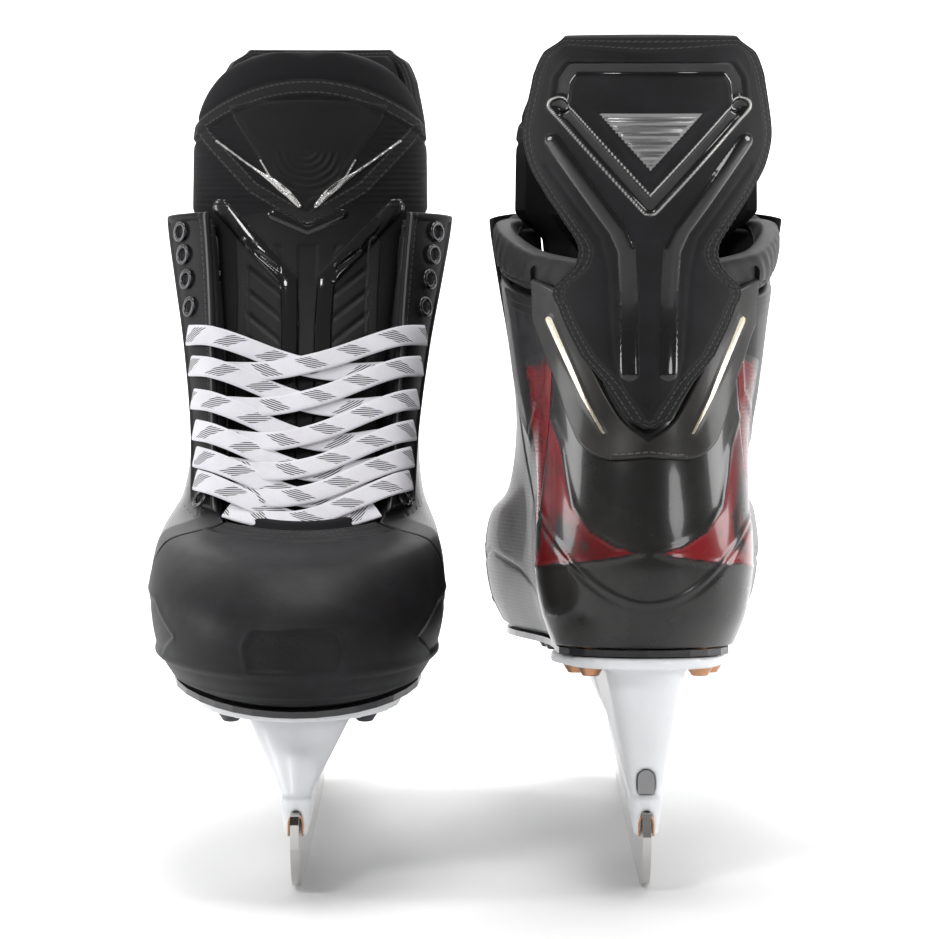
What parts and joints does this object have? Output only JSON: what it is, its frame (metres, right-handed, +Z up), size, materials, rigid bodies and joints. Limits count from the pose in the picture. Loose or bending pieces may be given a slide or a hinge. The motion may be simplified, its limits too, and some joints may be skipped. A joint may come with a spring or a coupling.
{
  "type": "ice hockey skates",
  "caption": "Pair of ice hockey skates with moulded boots, laced fronts, hinged tongues and tendon guards, and releasable runners.",
  "frame": {"origin": "on the floor, under the middle of the pair's bounding box", "axes": "+Z up; the right skate, at -X, points to -Y and the left skate, at +X, points to +Y"},
  "size_m": [0.2351, 0.2964, 0.3033],
  "materials": {
    "outsole": "satin moulded composite",
    "toe_cap": "fine-grained matte moulding",
    "vamp": "tight woven nylon",
    "shell": "matte composite weave",
    "heel_shell": "glossy smoky shell",
    "frame_band": "satin grey band",
    "guard_plastic": "ribbed, satin to gloss",
    "lining": "brushed lining",
    "collar": "soft matte padding",
    "footbed": "felt over foam",
    "facing": "smooth matte facing",
    "eyelet_metal": "satin",
    "lace": "flat woven, waxed",
    "tongue_felt": "ribbed textile over felt",
    "tongue_plastic": "satin ribbed moulding",
    "holder_plastic": "white satin nylon",
    "rivet_steel": "dark",
    "rivet_copper": "copper, satin",
    "runner_steel": "polished sides, ground edge",
    "button_plastic": "satin",
    "spring_steel": "drawn wire"
  },
  "bodies": {
    "right_boot": {"right_outsole": "outsole", "right_toe_cap": "toe_cap", "right_vamp": "vamp", "right_quarter_outer": "shell", "right_quarter_inner": "shell", "right_heel_counter": "heel_shell", "right_heel_frame": "frame_band", "right_guard_stem": "guard_plastic", "right_liner": "lining", "right_collar_pad_outer": "collar", "right_collar_pad_inner": "collar", "right_footbed": "footbed", "right_eyestay_outer": "facing", "right_eyestay_inner": "facing", "right_eyelets": "eyelet_metal", "right_lace": "lace", "right_tongue_base": "tongue_felt", "right_tongue_shield": "tongue_plastic", "right_holder": "holder_plastic", "right_front_rivets": "rivet_steel", "right_rear_rivets": "rivet_copper", "right_lock_spring": "spring_steel"},
    "right_guard": {"right_tendon_guard": "guard_plastic", "right_tendon_pad": "collar"},
    "right_tongue": {"right_tongue_top": "tongue_felt", "right_tongue_badge": "tongue_plastic"},
    "right_runner": {"right_runner": "runner_steel"},
    "right_button": {"right_lock_button": "button_plastic"},
    "left_boot": {"left_outsole": "outsole", "left_toe_cap": "toe_cap", "left_vamp": "vamp", "left_quarter_outer": "shell", "left_quarter_inner": "shell", "left_heel_counter": "heel_shell", "left_heel_frame": "frame_band", "left_guard_stem": "guard_plastic", "left_liner": "lining", "left_collar_pad_outer": "collar", "left_collar_pad_inner": "collar", "left_footbed": "footbed", "left_eyestay_outer": "facing", "left_eyestay_inner": "facing", "left_eyelets": "eyelet_metal", "left_lace": "lace", "left_tongue_base": "tongue_felt", "left_tongue_shield": "tongue_plastic", "left_holder": "holder_plastic", "left_front_rivets": "rivet_steel", "left_rear_rivets": "rivet_copper", "left_lock_spring": "spring_steel"},
    "left_guard": {"left_tendon_guard": "guard_plastic", "left_tendon_pad": "collar"},
    "left_tongue": {"left_tongue_top": "tongue_felt", "left_tongue_badge": "tongue_plastic"},
    "left_runner": {"left_runner": "runner_steel"},
    "left_button": {"left_lock_button": "button_plastic"}
  },
  "joints": [
    {"name": "pair_spread", "type": "slide", "parent": "right_boot", "child": "left_boot", "axis": [1, 0, 0], "range_m": [0, 0.12]},
    {"name": "right_guard_flex", "type": "hinge", "parent": "right_boot", "child": "right_guard", "pos_m": [-0.06025, 0.134, 0.2234], "axis": [-1, 0, 0], "range_deg": [0, 20], "stiffness_Nm_per_rad": 1.5},
    {"name": "right_tongue_fold", "type": "hinge", "parent": "right_boot", "child": "right_tongue", "pos_m": [-0.06025, -0.0015, 0.2388], "axis": [1, 0, 0], "range_deg": [0, 60], "stiffness_Nm_per_rad": 0.3},
    {"name": "right_runner_release", "type": "slide", "parent": "right_boot", "child": "right_runner", "axis": [0, 0, -1], "range_m": [0, 0.03]},
    {"name": "right_lock_press", "type": "slide", "parent": "right_boot", "child": "right_button", "axis": [0, -1, 0], "range_m": [0, 0.003], "stiffness_N_per_m": 900, "deforming": ["right_lock_spring"]},
    {"name": "left_guard_flex", "type": "hinge", "parent": "left_boot", "child": "left_guard", "pos_m": [0.06375, -0.134, 0.2234], "axis": [1, 0, 0], "range_deg": [0, 20], "stiffness_Nm_per_rad": 1.5},
    {"name": "left_tongue_fold", "type": "hinge", "parent": "left_boot", "child": "left_tongue", "pos_m": [0.06375, 0.0015, 0.2388], "axis": [-1, 0, 0], "range_deg": [0, 60], "stiffness_Nm_per_rad": 0.3},
    {"name": "left_runner_release", "type": "slide", "parent": "left_boot", "child": "left_runner", "axis": [0, 0, -1], "range_m": [0, 0.03]},
    {"name": "left_lock_press", "type": "slide", "parent": "left_boot", "child": "left_button", "axis": [0, 1, 0], "range_m": [0, 0.003], "stiffness_N_per_m": 900, "deforming": ["left_lock_spring"]}
  ]
}
